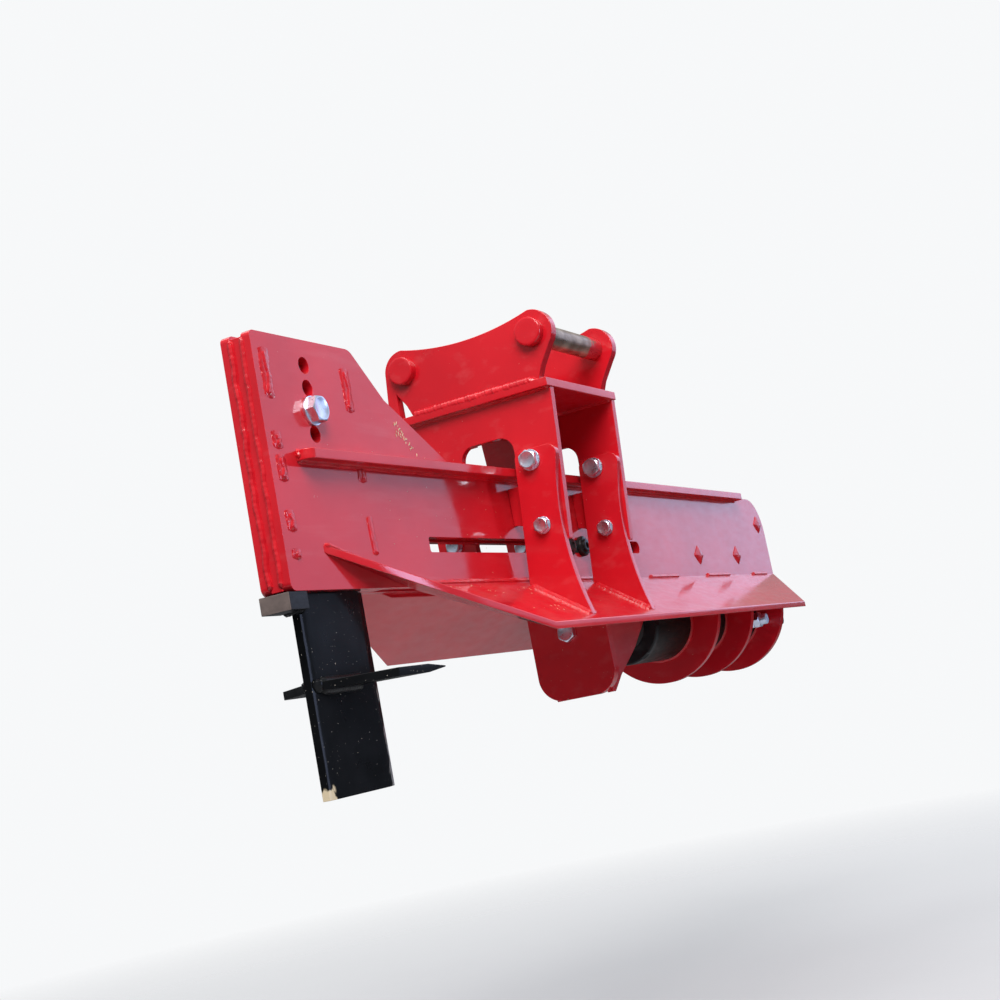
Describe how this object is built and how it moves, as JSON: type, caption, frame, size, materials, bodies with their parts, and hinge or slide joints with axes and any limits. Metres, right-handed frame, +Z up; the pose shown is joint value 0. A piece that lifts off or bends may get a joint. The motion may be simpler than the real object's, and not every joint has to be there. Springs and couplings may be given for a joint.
{
  "type": "excavator log splitter",
  "caption": "Hydraulic log splitter for an excavator hitch: a double-plate beam with a fixed winged knife and a ram-driven pusher.",
  "frame": {"origin": "midway between the two hitch pins' axes, on the beam's middle plane and halfway between the hitch ears", "axes": "+X along the beam from the knife to the ram's rear end, +Y across the beam, +Z up with the beam level"},
  "size_m": [2.053, 0.35, 0.739],
  "materials": {
    "frame_red": "glossy red paint",
    "knife_black": "glossy black paint",
    "bare_steel": "worn bare steel",
    "zinc": "bright zinc plate",
    "barrel_paint": "dark grey-green paint",
    "gland_black": "satin black",
    "seal_rubber": "matt",
    "rod_chrome": "hard chrome",
    "piston_steel": "turned",
    "pusher_red": "glossy red paint, scratched",
    "shoe_plastic": "black wear plastic",
    "cap_black": "black oxide"
  },
  "bodies": {
    "frame": {"side_plate_near": "frame_red", "side_plate_far": "frame_red", "pocket_rear_bar": "frame_red", "pocket_front_bar": "frame_red", "beam_top_bar": "frame_red", "beam_lower_bar": "frame_red", "beam_end_bar": "frame_red", "top_rib_near": "frame_red", "top_rib_far": "frame_red", "shield_near": "frame_red", "shield_far": "frame_red", "front_gusset_near": "frame_red", "front_gusset_far": "frame_red", "rear_gusset_near": "frame_red", "rear_gusset_far": "frame_red", "bracket_front_plate": "frame_red", "bracket_rear_plate": "frame_red", "bracket_top_plate": "frame_red", "hitch_ear_front": "frame_red", "hitch_ear_rear": "frame_red", "hitch_pin_caps": "frame_red", "cylinder_rib_front": "frame_red", "cylinder_rib_middle": "frame_red", "cylinder_rib_rear": "frame_red", "rear_lugs": "frame_red", "knife_blade": "knife_black", "knife_wing_near": "knife_black", "knife_wing_far": "knife_black", "hitch_pin_near": "bare_steel", "hitch_pin_far": "bare_steel", "knife_shoulder": "bare_steel", "rear_pin": "bare_steel", "rear_pin_circlips": "bare_steel", "upper_gusset_bolts": "zinc", "upper_gusset_nuts": "zinc", "lower_gusset_bolts": "zinc", "lower_gusset_nuts": "zinc", "gusset_washers": "zinc", "knife_bolt": "zinc", "knife_bolt_nut": "zinc", "knife_bolt_washers": "zinc", "port_fittings": "zinc", "base_port_pipe": "zinc", "cylinder_barrel": "barrel_paint", "cylinder_rear_eye": "barrel_paint", "cylinder_gland": "gland_black", "gland_wiper": "seal_rubber"},
    "pusher": {"ram_rod": "rod_chrome", "rod_end_bolt": "zinc", "ram_piston": "piston_steel", "piston_seals": "seal_rubber", "piston_nut": "piston_steel", "pusher_face": "pusher_red", "pusher_gusset_near": "pusher_red", "pusher_gusset_far": "pusher_red", "pusher_top_plate": "pusher_red", "pusher_web": "pusher_red", "guide_shoes": "shoe_plastic", "guide_caps": "cap_black", "guide_bolts": "cap_black"}
  },
  "joints": [
    {"name": "ram_slide", "type": "slide", "parent": "frame", "child": "pusher", "axis": [-1, 0, 0], "range_m": [0, 0.47]}
  ]
}
